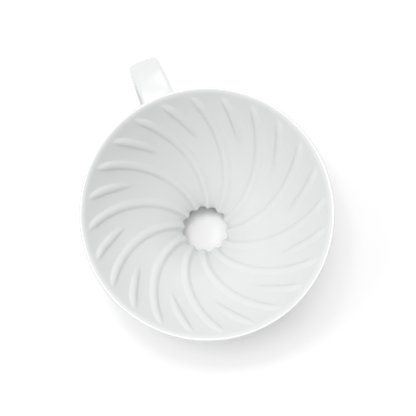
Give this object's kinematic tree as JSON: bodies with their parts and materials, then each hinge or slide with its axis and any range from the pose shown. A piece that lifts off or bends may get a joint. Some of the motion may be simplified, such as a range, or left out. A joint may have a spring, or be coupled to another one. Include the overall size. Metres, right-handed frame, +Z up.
{
  "type": "pour over dripper",
  "caption": "White glazed porcelain cone for pour-over coffee, with spiral ribs inside, a round base plate, a locating ring below and a strap handle.",
  "frame": {"origin": "on the cone's axis, in the plane of the base plate's underside, which is the face that rests on a mug or server", "axes": "+Z up along the cone's axis towards the rim, +X towards the handle"},
  "size_m": [0.1415, 0.118, 0.102],
  "materials": {
    "glazed_porcelain": "gloss",
    "glazed_slip": "gloss",
    "porcelain_with_bare_foot": "gloss"
  },
  "bodies": {
    "root": {"cone_body": "glazed_porcelain", "base_plate": "glazed_porcelain", "locating_ring": "porcelain_with_bare_foot", "handle": "glazed_porcelain", "slip_fillet_cone": "glazed_slip", "slip_fillet_ring": "glazed_slip", "slip_fillet_handle_root": "glazed_slip", "slip_fillet_handle_foot_left": "glazed_slip", "slip_fillet_handle_foot_right": "glazed_slip"}
  },
  "joints": []
}
